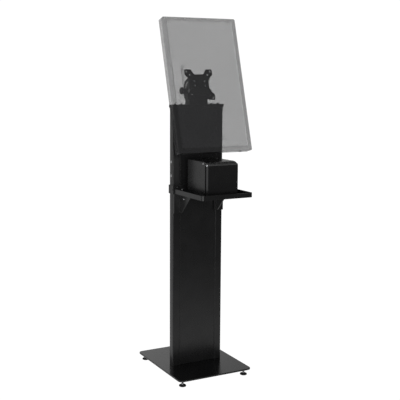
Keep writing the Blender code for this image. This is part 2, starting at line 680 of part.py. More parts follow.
def make_tilt_bracket(axis):
    """Moving U bracket behind the mounting plate; an arc slot in each cheek rides on the lock bolt."""
    web_front = VESA_FACE + VESA_THICK + GAP
    side_view = [(web_front, -24 * MM), (16 * MM, -28 * MM)]
    side_view += arc_points((0, 0), CHEEK_RADIUS, -18, 88, 14)
    side_view += [(web_front, CHEEK_RADIUS)]
    mesh = prism_mesh(side_view, "X", -HEAD_HALF, HEAD_HALF)
    bracket = add_object("tilt_bracket", mesh, "powder_black", axis)
    folds = rounded_outline((-HEAD_HALF, web_front), (HEAD_HALF, 90 * MM), HEAD_BEND, 4)
    keep_inside(bracket, prism_mesh(folds, "Z", -90 * MM, 90 * MM))
    inner = HEAD_HALF - CHEEK
    low = (-inner, web_front + CHEEK, -60 * MM)
    high = (inner, 80 * MM, 80 * MM)
    cut(bracket, box_mesh(low, high))
    low = (-inner, web_front - 20 * MM, -60 * MM)
    high = (inner, 80 * MM, WEB_FOOT)
    cut(bracket, box_mesh(low, high))
    reach = HEAD_HALF + 5 * MM
    cut(bracket, rod_mesh(PIVOT_RADIUS + GAP, -reach, reach, "X", (0, 0, 0)))
    width = LOCK_RADIUS + 0.6 * MM
    first, last = -2, 74
    slot = arc_points((0, 0), LOCK_ARM + width, first, last, 14)
    end = (LOCK_ARM * math.cos(math.radians(last)), LOCK_ARM * math.sin(math.radians(last)))
    slot += arc_points(end, width, last, last + 180, 5)[1:-1]
    slot += arc_points((0, 0), LOCK_ARM - width, last, first, 14)
    start = (LOCK_ARM * math.cos(math.radians(first)), LOCK_ARM * math.sin(math.radians(first)))
    slot += arc_points(start, width, first + 180, first + 360, 5)[1:-1]
    cut(bracket, prism_mesh(slot, "X", -reach, reach))
    for x, z in plate_screw_places():
        cut(bracket, rod_mesh(SCREW_HOLE, web_front - 5 * MM, web_front + 10 * MM, "Y", (x, 0, z), 12))


def plate_screw_places():
    for z in (VESA_HEIGHT + 13 * MM, VESA_HEIGHT - 4 * MM):
        for x in (-22 * MM, 22 * MM):
            yield x, z


def vesa_outline():
    """Star-shaped plate: four arms, a straight notch above and below, a round bite left and right."""
    arm = 58 * MM
    bite = arc_points((37 * MM + 41.5 * MM, 0), 41.5 * MM, 230, 130, 10)
    right = [(arm - 2 * MM, -arm), (arm, -arm + 2 * MM), (arm, -36 * MM)] + bite
    right += [(arm, 36 * MM), (arm, arm - 2 * MM), (arm - 2 * MM, arm)]
    notch = [(32 * MM, arm), (19 * MM, 39 * MM)]
    upper = right[len(right) // 2:]
    quarter = [point for point in upper if point[1] > 1e-6] + notch
    right_half = [(x, -z) for x, z in reversed(quarter)] + [(37 * MM, 0)] + quarter
    left_half = [(-x, -z) for x, z in right_half]
    return right_half + left_half


def make_vesa_plate(axis):
    outline = [(x, z + VESA_HEIGHT) for x, z in vesa_outline()]
    mesh = prism_mesh(outline, "Y", VESA_FACE, VESA_FACE + VESA_THICK)
    plate = add_object("vesa_plate", mesh, "powder_black", axis)
    for pitch in (VESA_PITCH, VESA_SMALL_PITCH):
        for x in (-pitch / 2, pitch / 2):
            for z in (VESA_HEIGHT - pitch / 2, VESA_HEIGHT + pitch / 2):
                cut(plate, rod_mesh(VESA_HOLE, VESA_FACE - 5 * MM, VESA_FACE + 8 * MM, "Y", (x, 0, z), 16))
    for x, z in plate_screw_places():
        cut(plate, rod_mesh(SCREW_HOLE, VESA_FACE - 5 * MM, VESA_FACE + 8 * MM, "Y", (x, 0, z), 12))


def make_vesa_screws(axis):
    rear = VESA_FACE + VESA_THICK
    for row, z in (("lower", VESA_HEIGHT - VESA_PITCH / 2), ("upper", VESA_HEIGHT + VESA_PITCH / 2)):
        for side, x in (("left", -VESA_PITCH / 2), ("right", VESA_PITCH / 2)):
            button_screw(f"vesa_screw_{row}_{side}", "Y", (x, 0, z), rear, -1, (3.8, 2.4), (2, 10), axis)


def make_head_bolts(knob_axis):
    reach = HEAD_HALF + 1 * MM
    head = [
        (0, -reach - 4 * MM),
        (6 * MM, -reach - 3.2 * MM),
        (7 * MM, -reach),
        (PIVOT_RADIUS, -reach),
        (PIVOT_RADIUS, reach),
        (7 * MM, reach),
        (6 * MM, reach + 3.2 * MM),
        (0, reach + 4 * MM),
    ]
    add_object("pivot_bolt", turned_mesh(head, "X", (0, PIVOT.y, PIVOT.z)), "steel")
    stud = [
        (0, -53 * MM),
        (LOCK_RADIUS, -53 * MM),
        (LOCK_RADIUS, reach),
        (6 * MM, reach),
        (6 * MM, reach + 5 * MM),
        (0, reach + 5 * MM),
    ]
    lock = (0, PIVOT.y + LOCK_ARM, PIVOT.z)
    add_object("lock_bolt", turned_mesh(stud, "X", lock, 16), "steel")
    knob = [
        (0, -60.5 * MM),
        (8 * MM, -61 * MM),
        (12 * MM, -60 * MM),
        (13.5 * MM, -58 * MM),
        (13.5 * MM, -55.5 * MM),
        (11.5 * MM, -54 * MM),
        (7 * MM, -53 * MM),
        (6 * MM, -reach),
        (LOCK_RADIUS + GAP, -reach),
        (LOCK_RADIUS + GAP, -54 * MM),
        (0, -54 * MM),
    ]
    add_object("lock_knob", turned_mesh(knob, "X", (0, 0, 0)), "plastic_black", knob_axis)


# ---------------------------------------------------------------- display

def display_outline(inset):
    low = (-DISPLAY_WIDTH / 2 + inset, DISPLAY_MIDDLE - DISPLAY_HEIGHT / 2 + inset)
    high = (DISPLAY_WIDTH / 2 - inset, DISPLAY_MIDDLE + DISPLAY_HEIGHT / 2 - inset)
    return rounded_outline(low, high, max(DISPLAY_CORNER - inset, 1 * MM), 5)


def screen_opening(extra):
    half = DISPLAY_WIDTH / 2 - BEZEL_SIDE + extra
    bottom = DISPLAY_MIDDLE - DISPLAY_HEIGHT / 2 + BEZEL_BOTTOM - extra
    top = DISPLAY_MIDDLE + DISPLAY_HEIGHT / 2 - BEZEL_TOP + extra
    return (-half, bottom), (half, top)


def make_bezel(axis):
    front = DISPLAY_FACE
    mesh = prism_mesh(display_outline(0), "Y", front, front + BEZEL_DEPTH)
    bezel = add_object("display_bezel", mesh, "plastic_black", axis)
    low, high = screen_opening(0)
    cut(bezel, box_mesh((low[0], front - 5 * MM, low[1]), (high[0], front + 20 * MM, high[1])))
    low, high = screen_opening(GLASS_LAP)
    cut(bezel, box_mesh((low[0], front + BEZEL_LIP, low[1]), (high[0], front + 20 * MM, high[1])))
    add_bevel(bezel, 0.8 * MM, 1)


def make_glass_and_panel(axis):
    glass_front = DISPLAY_FACE + BEZEL_LIP + GAP
    panel_front = glass_front + GLASS_THICK + GAP
    sheets = (
        ("touch_glass", glass_front, GLASS_THICK, GLASS_LAP - GAP, 0.4 * MM),
        ("lcd_panel", panel_front, LCD_THICK, LCD_LAP, 1 * MM),
    )
    for name, front, thickness, lap, edge in sheets:
        low, high = screen_opening(lap)
        mesh = box_mesh((low[0], front, low[1]), (high[0], front + thickness, high[1]))
        sheet = add_object(name, mesh, "screen_grey", axis)
        add_bevel(sheet, edge, 1)


def power_button_place():
    bottom = DISPLAY_MIDDLE - DISPLAY_HEIGHT / 2
    return Vector((DISPLAY_WIDTH / 2 - 40 * MM, DISPLAY_FACE + 20 * MM, bottom))


def make_rear_cover(axis):
    front = DISPLAY_FACE + BEZEL_DEPTH + GAP
    back = DISPLAY_FACE + DISPLAY_DEPTH
    wall = 2.5 * MM
    mesh = prism_mesh(display_outline(0.5 * MM), "Y", front, back)
    cover = add_object("display_rear_cover", mesh, "plastic_black", axis)
    hump_back = VESA_FACE - BOSS_HEIGHT
    low = (-HUMP_WIDTH / 2, VESA_HEIGHT - HUMP_HEIGHT / 2)
    high = (HUMP_WIDTH / 2, VESA_HEIGHT + HUMP_HEIGHT / 2)
    join(cover, prism_mesh(rounded_outline(low, high, 12 * MM, 5), "Y", back - 1 * MM, hump_back))
    cut(cover, prism_mesh(display_outline(3 * MM), "Y", front - 10 * MM, back - wall))
    inner_low = (low[0] + wall, low[1] + wall)
    inner_high = (high[0] - wall, high[1] - wall)
    hollow = rounded_outline(inner_low, inner_high, 9.5 * MM, 5)
    cut(cover, prism_mesh(hollow, "Y", front, hump_back - wall))
    for x in (-VESA_PITCH / 2, VESA_PITCH / 2):
        for z in (VESA_HEIGHT - VESA_PITCH / 2, VESA_HEIGHT + VESA_PITCH / 2):
            join(cover, rod_mesh(6 * MM, hump_back - 10 * MM, VESA_FACE - GAP, "Y", (x, 0, z), 16))
            cut(cover, rod_mesh(SCREW_HOLE, hump_back - 8 * MM, VESA_FACE + 5 * MM, "Y", (x, 0, z), 16))
    place = power_button_place()
    cut(cover, rod_mesh(4.3 * MM, place.z - 10 * MM, place.z + 8 * MM, "Z", (place.x, place.y, 0), 16))


def make_power_button(axis):
    place = power_button_place()
    profile = [
        (0, place.z - 1 * MM),
        (3.4 * MM, place.z - 1 * MM),
        (4 * MM, place.z - 0.4 * MM),
        (4 * MM, place.z + 4.5 * MM),
        (0, place.z + 4.5 * MM),
    ]
    add_object("power_button", turned_mesh(profile, "Z", (place.x, place.y, 0), 16), "plastic_black", axis)


def make_display_board(axis):
    back = VESA_FACE - BOSS_HEIGHT - 4.5 * MM
    low = (-62 * MM, back - 1.6 * MM, VESA_HEIGHT - 40 * MM)
    high = (40 * MM, back, VESA_HEIGHT + 38 * MM)
    add_object("display_board", box_mesh(low, high), "board_green", axis)


def main():
    clear_scene()
    make_base()
    make_feet()
    make_uprights()
    make_column_bolts()
    make_panels()
    make_cross_rails()
    make_top_cap()
    make_shelf_tray()
    make_shelf_brackets()
    make_bracket_screws()
    make_clamp_strap()
    make_printer_casing()
    make_printer_frame()
    make_front_cover(add_empty("axis_front_cover", COVER_AXIS))
    make_hinge_pin()
    make_paper_path(add_empty("axis_platen", PLATEN_AXIS), add_empty("axis_paper_roll", ROLL_AXIS))
    make_print_mechanism()
    make_head_base()
    head = add_empty("axis_head_tilt", PIVOT, HEAD_TILT)
    make_tilt_bracket(head)
    make_vesa_plate(head)
    make_vesa_screws(head)
    make_head_bolts(add_empty("axis_lock_knob", PIVOT + Vector((0, LOCK_ARM, 0))))
    make_bezel(head)
    make_glass_and_panel(head)
    make_rear_cover(head)
    make_power_button(head)
    make_display_board(head)


main()
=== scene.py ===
"""Looks of the touchscreen kiosk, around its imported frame: finishes, fine metalwork, camera and studio."""

import json
import math

import bmesh
import bpy
from mathutils import Matrix, Vector


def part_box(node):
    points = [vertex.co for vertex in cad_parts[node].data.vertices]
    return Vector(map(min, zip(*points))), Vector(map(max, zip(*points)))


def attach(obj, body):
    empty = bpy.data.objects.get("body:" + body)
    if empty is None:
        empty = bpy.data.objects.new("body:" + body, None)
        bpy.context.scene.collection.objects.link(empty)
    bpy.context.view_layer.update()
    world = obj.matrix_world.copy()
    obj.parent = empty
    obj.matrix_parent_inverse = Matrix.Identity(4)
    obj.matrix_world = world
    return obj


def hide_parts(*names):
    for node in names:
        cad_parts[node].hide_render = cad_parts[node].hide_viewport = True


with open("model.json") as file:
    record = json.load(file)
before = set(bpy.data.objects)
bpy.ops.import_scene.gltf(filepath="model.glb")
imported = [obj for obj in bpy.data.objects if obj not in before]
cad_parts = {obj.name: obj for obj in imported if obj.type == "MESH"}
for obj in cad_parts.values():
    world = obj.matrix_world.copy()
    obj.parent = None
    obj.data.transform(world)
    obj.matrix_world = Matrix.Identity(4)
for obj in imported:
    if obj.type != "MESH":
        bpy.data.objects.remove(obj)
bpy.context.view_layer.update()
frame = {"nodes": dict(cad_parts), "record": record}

MM = 0.001
NODES = frame["nodes"]
HEAD_TILT = math.radians(15.85)  # lean of the display and its bracket at rest
LEAN = Matrix.Rotation(-HEAD_TILT, 3, "X")
PIVOT = Vector((0, -4 * MM, 1079 * MM))  # middle of the display's tilting axis
DISPLAY_UP = LEAN @ Vector((0, 0, 1))
DISPLAY_BACK = LEAN @ Vector((0, 1, 0))
SIDEWAYS = Vector((1, 0, 0))
SIDES = (("left", -1), ("right", 1))
DISPLAY_MIDDLE = sum(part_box("display_rear_cover"), Vector()) / 2
GLASS_HALF = 1.2 * MM      # a little less than half the glass's thickness
GLASS_LAP = 1.9 * MM       # how far the bezel hides the glass's edge
SIDE_WALL_DEPTH = 3 * MM   # the cover's side walls lie this near its widest
END_WALL_DEPTH = 22 * MM   # its end walls lie this near its ends
INNER_WALL_SHARE = 0.4     # how much the left and lower walls of the cover's rear box count
NOISE_LOW, NOISE_HIGH = 0.3, 0.7  # most values of a noise lie between these
ROUND_STEPS = 24           # corners of a small round piece


# ---------------------------------------------------------------- shader helpers

def start_material(name, roughness, metallic=0.0):
    material = bpy.data.materials.new(name)
    material.use_nodes = True
    tree = material.node_tree
    shader = tree.nodes["Principled BSDF"]
    shader.inputs["Roughness"].default_value = roughness
    shader.inputs["Metallic"].default_value = metallic
    return material, tree, shader


def object_place(tree):
    return tree.nodes.new("ShaderNodeTexCoord").outputs["Object"]


def noise(tree, place, scale, detail=2.0):
    node = tree.nodes.new("ShaderNodeTexNoise")
    node.inputs["Scale"].default_value = scale
    node.inputs["Detail"].default_value = detail
    tree.links.new(place, node.inputs["Vector"])
    return node.outputs["Fac"]


def spread(tree, value, low, high, start=NOISE_LOW, stop=NOISE_HIGH):
    """A value between start and stop becomes one between low and high."""
    node = tree.nodes.new("ShaderNodeMapRange")
    node.inputs["From Min"].default_value = start
    node.inputs["From Max"].default_value = stop
    node.inputs["To Min"].default_value = low
    node.inputs["To Max"].default_value = high
    tree.links.new(value, node.inputs["Value"])
    return node.outputs["Result"]


def between(tree, share, first, second):
    """A colour from first to second as share goes from NOISE_LOW to NOISE_HIGH."""
    ramp = tree.nodes.new("ShaderNodeValToRGB")
    ramp.color_ramp.elements[0].position = NOISE_LOW
    ramp.color_ramp.elements[0].color = (*first, 1)
    ramp.color_ramp.elements[1].position = NOISE_HIGH
    ramp.color_ramp.elements[1].color = (*second, 1)
    tree.links.new(share, ramp.inputs["Fac"])
    return ramp.outputs["Color"]


def relief(tree, shader, height, depth, strength):
    """Bumps of a depth in metres."""
    bump = tree.nodes.new("ShaderNodeBump")
    bump.inputs["Distance"].default_value = depth
    bump.inputs["Strength"].default_value = strength
    tree.links.new(height, bump.inputs["Height"])
    tree.links.new(bump.outputs["Normal"], shader.inputs["Normal"])


def math_node(tree, operation, first, second):
    node = tree.nodes.new("ShaderNodeMath")
    node.operation = operation
    for socket, value in zip(node.inputs, (first, second)):
        if isinstance(value, (int, float)):
            socket.default_value = value
        else:
            tree.links.new(value, socket)
    return node.outputs["Value"]


def vector_node(tree, operation, first, second):
    node = tree.nodes.new("ShaderNodeVectorMath")
    node.operation = operation
    for socket, value in zip(node.inputs, (first, second)):
        if isinstance(value, (tuple, Vector)):
            socket.default_value = value
        else:
            tree.links.new(value, socket)
    return node.outputs["Value" if operation in ("DOT_PRODUCT", "LENGTH") else "Vector"]


# ---------------------------------------------------------------- finishes

def coated(name, dark, light, roughness, grain, depth, strength):
    """A black coat: fine orange peel, slow drifts of tone, and roughness that varies with handling."""
    material, tree, shader = start_material(name, roughness[0])
    place = object_place(tree)
    drift = noise(tree, place, scale=14, detail=3)
    tree.links.new(between(tree, drift, dark, light), shader.inputs["Base Color"])
    handling = noise(tree, place, scale=22, detail=4)
    tree.links.new(spread(tree, handling, *roughness), shader.inputs["Roughness"])
    relief(tree, shader, noise(tree, place, grain), depth, strength)
    return material


def metal(name, dark, light, roughness, grain):
    """Bright metal with fine turning marks and a cloudy plating."""
    material, tree, shader = start_material(name, roughness[0], 1.0)
    place = object_place(tree)
    cloud = noise(tree, place, grain, detail=3)
    tree.links.new(between(tree, cloud, dark, light), shader.inputs["Base Color"])
    wear = noise(tree, place, grain * 2)
    tree.links.new(spread(tree, wear, *roughness), shader.inputs["Roughness"])
    relief(tree, shader, noise(tree, place, grain * 6, detail=1), depth=0.04 * MM, strength=0.3)
    return material


def paper_finish(axis_point):
    """Paper wound on itself: the ends show the turns as fine rings around the spindle."""
    ring_factor = 9000.0  # one ring each 0.7 mm, as the sine of the radius in metres
    material, tree, shader = start_material("paper_wound", 0.85)
    place = object_place(tree)
    from_axis = vector_node(tree, "SUBTRACT", place, axis_point)
    across = vector_node(tree, "MULTIPLY", from_axis, (0.0, 1.0, 1.0))
    radius = vector_node(tree, "LENGTH", across, (0.0, 0.0, 0.0))
    turns = math_node(tree, "SINE", math_node(tree, "MULTIPLY", radius, ring_factor), 0.0)
    share = math_node(tree, "MULTIPLY_ADD", turns, 0.2)
    colour = between(tree, share, (0.70, 0.69, 0.66), (0.86, 0.85, 0.82))
    tree.links.new(colour, shader.inputs["Base Color"])
    relief(tree, shader, turns, depth=0.08 * MM, strength=0.4)
    return material


def board_finish():
    """The display's circuit board, drawn almost clear like the rest of the display's inside."""
    material, tree, shader = start_material("board_clear", 0.5)
    tracks = tree.nodes.new("ShaderNodeTexBrick")
    tracks.inputs["Scale"].default_value = 90.0
    tracks.inputs["Color1"].default_value = (0.02, 0.05, 0.03, 1)
    tracks.inputs["Color2"].default_value = (0.03, 0.07, 0.04, 1)
    tracks.inputs["Mortar"].default_value = (0.10, 0.09, 0.04, 1)
    tree.links.new(object_place(tree), tracks.inputs["Vector"])
    tree.links.new(tracks.outputs["Color"], shader.inputs["Base Color"])
    shader.inputs["Alpha"].default_value = 0.03
    return material


def nearly_clear(name, dark, light, metallic):
    """Pieces of the display that its see-through drawing leaves almost out."""
    material, tree, shader = start_material(name, 0.4, metallic)
    colour = between(tree, noise(tree, object_place(tree), scale=60), dark, light)
    tree.links.new(colour, shader.inputs["Base Color"])
    shader.inputs["Alpha"].default_value = 0.02
    return material


def ghost(name, dark, light, roughness, cover, share_of):
    """A see-through shell that counts once on each line of sight: a face shows from its outer side only.

    cover is how much a face hides where it counts in full. share_of gives the share that a place takes, from
    the way to it from the display's middle, its normal, and faces_out: 1 where it looks away from the middle.
    """
    material, tree, shader = start_material(name, roughness)
    shader.inputs["Specular IOR Level"].default_value = 0.15
    place = object_place(tree)
    normal = tree.nodes["Texture Coordinate"].outputs["Normal"]
    drift = noise(tree, place, scale=9, detail=3)
    tree.links.new(between(tree, drift, dark, light), shader.inputs["Base Color"])
    relief(tree, shader, noise(tree, place, scale=700, detail=1), depth=0.02 * MM, strength=0.15)
    outward = vector_node(tree, "SUBTRACT", place, DISPLAY_MIDDLE)
    faces_out = math_node(tree, "GREATER_THAN", vector_node(tree, "DOT_PRODUCT", outward, normal), 0.0)
    behind = tree.nodes.new("ShaderNodeNewGeometry").outputs["Backfacing"]
    share = math_node(tree, "SUBTRACT", share_of(tree, outward, normal, faces_out), behind)
    shown = math_node(tree, "MAXIMUM", share, 0.0)
    tree.links.new(math_node(tree, "MULTIPLY", shown, cover), shader.inputs["Alpha"])
    return material


def leant_size(node):
    """The way from the display's middle to that of a leant node, and half the node's width and height.

    The height is read from the node's leant box, which is near enough for a thin node.
    """
    low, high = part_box(node)
    half_width = (high.x - low.x) / 2
    half_height = (high.z - low.z) / 2 / math.cos(HEAD_TILT)
    return (low + high) / 2 - DISPLAY_MIDDLE, half_width, half_height


def front_frame(tree, outward, normal, faces_out):
    """The bezel's outer faces, and the walls of its opening in front of the glass."""
    glass_middle = leant_size("touch_glass")[0]
    forward = math_node(tree, "MULTIPLY", vector_node(tree, "DOT_PRODUCT", outward, DISPLAY_BACK), -1.0)
    before_glass = math_node(tree, "GREATER_THAN", forward, -glass_middle.dot(DISPLAY_BACK) + GLASS_HALF)
    return math_node(tree, "MAXIMUM", faces_out, before_glass)


def beyond(tree, way, direction, reach):
    """1 where the way from a middle is longer than reach along a direction, to either side."""
    along = vector_node(tree, "DOT_PRODUCT", way, direction)
    return math_node(tree, "GREATER_THAN", math_node(tree, "ABSOLUTE", along, 0.0), reach)


def rear_shell(tree, outward, normal, faces_out):
    """The cover's outer faces, but for its rim's front.

    They count in full at the outer walls and where they look back, up or right. What is left are the left and
    lower walls of the box on its back, which count as INNER_WALL_SHARE.
    """
    _, half_width, half_height = leant_size("display_rear_cover")
    backward = vector_node(tree, "DOT_PRODUCT", normal, DISPLAY_BACK)
    at_side = beyond(tree, outward, SIDEWAYS, half_width - SIDE_WALL_DEPTH)
    at_end = beyond(tree, outward, DISPLAY_UP, half_height - END_WALL_DEPTH)
    at_rim = math_node(tree, "MAXIMUM", at_side, at_end)
    up_or_right = vector_node(tree, "DOT_PRODUCT", normal, DISPLAY_UP + SIDEWAYS)
    back_or_top = math_node(tree, "GREATER_THAN", math_node(tree, "MAXIMUM", backward, up_or_right), 0.5)
    full = math_node(tree, "MAXIMUM", at_rim, back_or_top)
    not_front = math_node(tree, "GREATER_THAN", backward, -0.5)
    share = math_node(tree, "MAXIMUM", full, INNER_WALL_SHARE)
    return math_node(tree, "MULTIPLY", math_node(tree, "MULTIPLY", share, not_front), faces_out)


def front_of_glass(tree, outward, normal, faces_out):
    """Only the glass's front, and only where the bezel leaves it open."""
    glass_middle, half_width, half_height = leant_size("touch_glass")
    from_middle = vector_node(tree, "SUBTRACT", outward, glass_middle)
    at_side = beyond(tree, from_middle, SIDEWAYS, half_width - GLASS_LAP)
    at_end = beyond(tree, from_middle, DISPLAY_UP, half_height - GLASS_LAP)
    hidden = math_node(tree, "MAXIMUM", at_side, at_end)
    backward = vector_node(tree, "DOT_PRODUCT", normal, DISPLAY_BACK)
    front = math_node(tree, "MULTIPLY", math_node(tree, "LESS_THAN", backward, -0.5), faces_out)
    return math_node(tree, "MULTIPLY", front, math_node(tree, "SUBTRACT", 1.0, hidden))


FINISH = {
    "powder_coat": coated(
        "powder_black", (0.0085, 0.0085, 0.0088), (0.0115, 0.0115, 0.0118),
        roughness=(0.27, 0.33), grain=900, depth=0.1 * MM, strength=0.12),
    "panel_coat": coated(
        "panel_black", (0.0090, 0.0090, 0.0093), (0.0118, 0.0118, 0.0122),
        roughness=(0.25, 0.31), grain=1100, depth=0.08 * MM, strength=0.10),
    "plate_coat": coated(
        "plate_black", (0.0050, 0.0050, 0.0052), (0.0075, 0.0075, 0.0078),
        roughness=(0.16, 0.22), grain=1300, depth=0.05 * MM, strength=0.08),
    "plastic_black": coated(
        "plastic_black", (0.0085, 0.0085, 0.0088), (0.0115, 0.0115, 0.0118),
        roughness=(0.22, 0.30), grain=1500, depth=0.06 * MM, strength=0.12),
    "rubber_black": coated(
        "rubber_black", (0.004, 0.004, 0.004), (0.007, 0.007, 0.007),
        roughness=(0.60, 0.75), grain=700, depth=0.1 * MM, strength=0.2),
    "zinc": metal(
        "zinc_bright", (0.62, 0.63, 0.65), (0.82, 0.83, 0.84), roughness=(0.22, 0.34), grain=300),
    "steel": metal(
        "steel_turned", (0.40, 0.40, 0.41), (0.52, 0.52, 0.53), roughness=(0.24, 0.36), grain=260),
    "paper": paper_finish(sum(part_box("paper_roll"), Vector()) / 2),
    "circuit_board": board_finish(),
    "bezel_black": ghost(
        "bezel_smoke", (0.032, 0.032, 0.033), (0.038, 0.038, 0.039),
        roughness=0.45, cover=0.765, share_of=front_frame),
    "rear_cover_smoke": ghost(
        "cover_smoke", (0.020, 0.020, 0.021), (0.028, 0.028, 0.029),
        roughness=0.5, cover=0.65, share_of=rear_shell),
    "touch_glass": ghost(
        "glass_smoke", (0.050, 0.050, 0.052), (0.060, 0.060, 0.062),
        roughness=0.35, cover=0.705, share_of=front_of_glass),
    "lcd_panel": nearly_clear("lcd_clear", (0.05, 0.05, 0.05), (0.07, 0.07, 0.07), metallic=0.0),
}
DISPLAY_SCREW = nearly_clear("display_screw_clear", (0.6, 0.6, 0.6), (0.7, 0.7, 0.7), metallic=1.0)


def finish_of(part):
    """A part's finish is that of its slot, but for the see-through screws and the dull feed button."""
    if part["node"].startswith("vesa_screw"):
        return DISPLAY_SCREW
    if part["node"] == "feed_button":
        return FINISH["rubber_black"]
    return FINISH[part["material_slot"]]


def paint_cad():
    for part in frame["record"]["subparts"]:
        materials = NODES[part["node"]].data.materials
        materials.clear()
        materials.append(finish_of(part))


# ---------------------------------------------------------------- edges of the CAD pieces

EDGE_WIDTHS = {
    "shelf_tray": 0.8 * MM,
    "shelf_bracket_left": 0.6 * MM,
    "shelf_bracket_right": 0.6 * MM,
    "shelf_clamp_strap": 0.8 * MM,
    "printer_casing": 0.7 * MM,
    "printer_front_cover": 0.7 * MM,
    "head_base": 1.2 * MM,
    "tilt_bracket": 0.6 * MM,
    "vesa_plate": 0.4 * MM,
}


def soften_edges():
    """Rounds the sheet-metal and moulded edges, so that they catch light as real ones do."""
    for name, width in EDGE_WIDTHS.items():
        obj = NODES[name]
        weld = obj.modifiers.new("weld", "WELD")
        weld.merge_threshold = 0.00001
        bevel = obj.modifiers.new("edge", "BEVEL")
        bevel.width = width
        bevel.segments = 3
        bevel.limit_method = "ANGLE"
        bevel.angle_limit = math.radians(40)
        bevel.harden_normals = True


# ---------------------------------------------------------------- pieces

def add_piece(name, mesh, slot, body, matrix=None):
    obj = bpy.data.objects.new(name, mesh)
    bpy.context.scene.collection.objects.link(obj)
    if matrix is not None:
        mesh.transform(matrix)
    mesh.materials.append(FINISH[slot])
    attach(obj, body)
    return obj


def stacked_rings(rings, steps):
    """A closed solid of rings along +Z. A ring is (height, radius); radius may be a function of the angle."""
    bm = bmesh.new()
    loops = []
    for height, radius in rings:
        loop = []
        for step in range(steps):
            angle = math.tau * step / steps
            reach = radius(angle) if callable(radius) else radius
            loop.append(bm.verts.new((reach * math.cos(angle), reach * math.sin(angle), height)))
        loops.append(loop)
    for lower, upper in zip(loops, loops[1:]):
        for step in range(steps):
            after = (step + 1) % steps
            bm.faces.new((lower[step], lower[after], upper[after], upper[step]))
    bm.faces.new(list(reversed(loops[0])))
    bm.faces.new(loops[-1])
    bmesh.ops.recalc_face_normals(bm, faces=bm.faces)
    mesh = bpy.data.meshes.new("piece")
    bm.to_mesh(mesh)
    bm.free()
    mesh.shade_smooth()
    mesh.set_sharp_from_angle(angle=math.radians(35))
    return mesh


def hexagon(flat):
    """A hexagon's radius as a function of the angle; flat is the distance from its middle to a flat."""
    return lambda angle: flat / math.cos(angle % (math.pi / 3) - math.pi / 6)


def screw_rings(head, crown, socket, shank, length):
    """A button-head screw with a hexagon socket: seat at 0, head towards +Z, shank towards -Z.

    head, socket and shank are half widths, crown is the head's height, and length is the shank's.
    """
    return [
        (-length, shank * 0.8),
        (-length + shank * 0.3, shank),
        (0.0, shank),
        (0.0, head * 0.97),
        (crown * 0.12, head),
        (crown * 0.45, head * 0.94),
        (crown * 0.75, head * 0.78),
        (crown * 0.95, head * 0.6),
        (crown, hexagon(socket * 1.06)),
        (crown - 0.1 * MM, hexagon(socket)),
        (crown * 0.35, hexagon(socket * 0.98)),
    ]


def facing(direction, place):
    """Turns +Z to a direction and moves the middle of the seat to a place."""
    turn = Vector((0, 0, 1)).rotation_difference(Vector(direction)).to_matrix().to_4x4()
    return Matrix.Translation(place) @ turn


def replace_screw(node, direction, head, crown, socket):
    """A CAD screw of the stand gets a domed head with a socket, on the same seat and as long as before."""
    low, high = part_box(node)
    middle = (low + high) / 2
    reach = (high - low) / 2
    along = Vector(direction)
    half = abs(reach.dot(Vector(map(abs, direction))))
    seat = middle + along * (half - crown)
    rings = screw_rings(head, crown, socket, shank=1.9 * MM, length=2 * half - crown)
    mesh = stacked_rings(rings, ROUND_STEPS)
    piece = add_piece(f"{node}_head", mesh, "powder_coat", "stand", facing(direction, seat))
    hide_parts(node)


def make_screws():
    """The heads of the stand's screws: on the cap, on the shelf's brackets and on the clamp strap."""
    cap_head = (5 * MM, 4 * MM, 1.5 * MM)
    bracket_head = (4.5 * MM, 2.6 * MM, 1.5 * MM)
    strap_head = (4 * MM, 2 * MM, 1.25 * MM)
    for side, _ in SIDES:
        replace_screw(f"cap_screw_outer_{side}", (0, 0, 1), *cap_head)
        replace_screw(f"cap_screw_inner_{side}", (0, 0, 1), *cap_head)
        replace_screw(f"bracket_screw_{side}", (0, -1, 0), *bracket_head)
    for side, direction in SIDES:
        replace_screw(f"strap_screw_{side}", (direction, 0, 0), *strap_head)


def make_plate_screws():
    """Four screws that hold the mounting plate on the tilting bracket."""
    plate_face = -9.5 * MM
    half_spacing = 22 * MM
    rings = screw_rings(head=3.6 * MM, crown=1.8 * MM, socket=1.2 * MM, shank=1.9 * MM, length=7 * MM)
    for row, height in (("upper", 34.2 * MM), ("lower", 17.2 * MM)):
        for side, direction in SIDES:
            middle = PIVOT + LEAN @ Vector((direction * half_spacing, plate_face, height))
            mesh = stacked_rings(rings, ROUND_STEPS)
            place = facing(-DISPLAY_BACK, middle)
            add_piece(f"plate_screw_{row}_{side}", mesh, "zinc", "display_head", place)


def make_inserts():
    """Threaded inserts in the column: two in each side for the shelf's height, one in the left front."""
    side_heights = (("upper", 817 * MM), ("lower", 766 * MM))
    front_x, front_height = -83 * MM, 848.4 * MM
    rings = [
        (-3 * MM, 2.9 * MM),
        (0.05 * MM, 2.9 * MM),
        (0.05 * MM, 4.3 * MM),
        (0.7 * MM, 4.4 * MM),
        (1.1 * MM, 4.0 * MM),
        (1.2 * MM, 2.7 * MM),
        (0.8 * MM, 2.3 * MM),
        (-2.4 * MM, 2.2 * MM),
    ]
    low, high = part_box("upright_left")
    depth = (low.y + high.y) / 2
    for side, direction in SIDES:
        face = direction * abs(low.x)
        for level, height in side_heights:
            place = facing((direction, 0, 0), (face, depth, height))
            mesh = stacked_rings(rings, ROUND_STEPS)
            add_piece(f"side_insert_{level}_{side}", mesh, "zinc", "stand", place)
    place = facing((0, -1, 0), (front_x, low.y, front_height))
    add_piece("front_insert_left", stacked_rings(rings, ROUND_STEPS), "zinc", "stand", place)


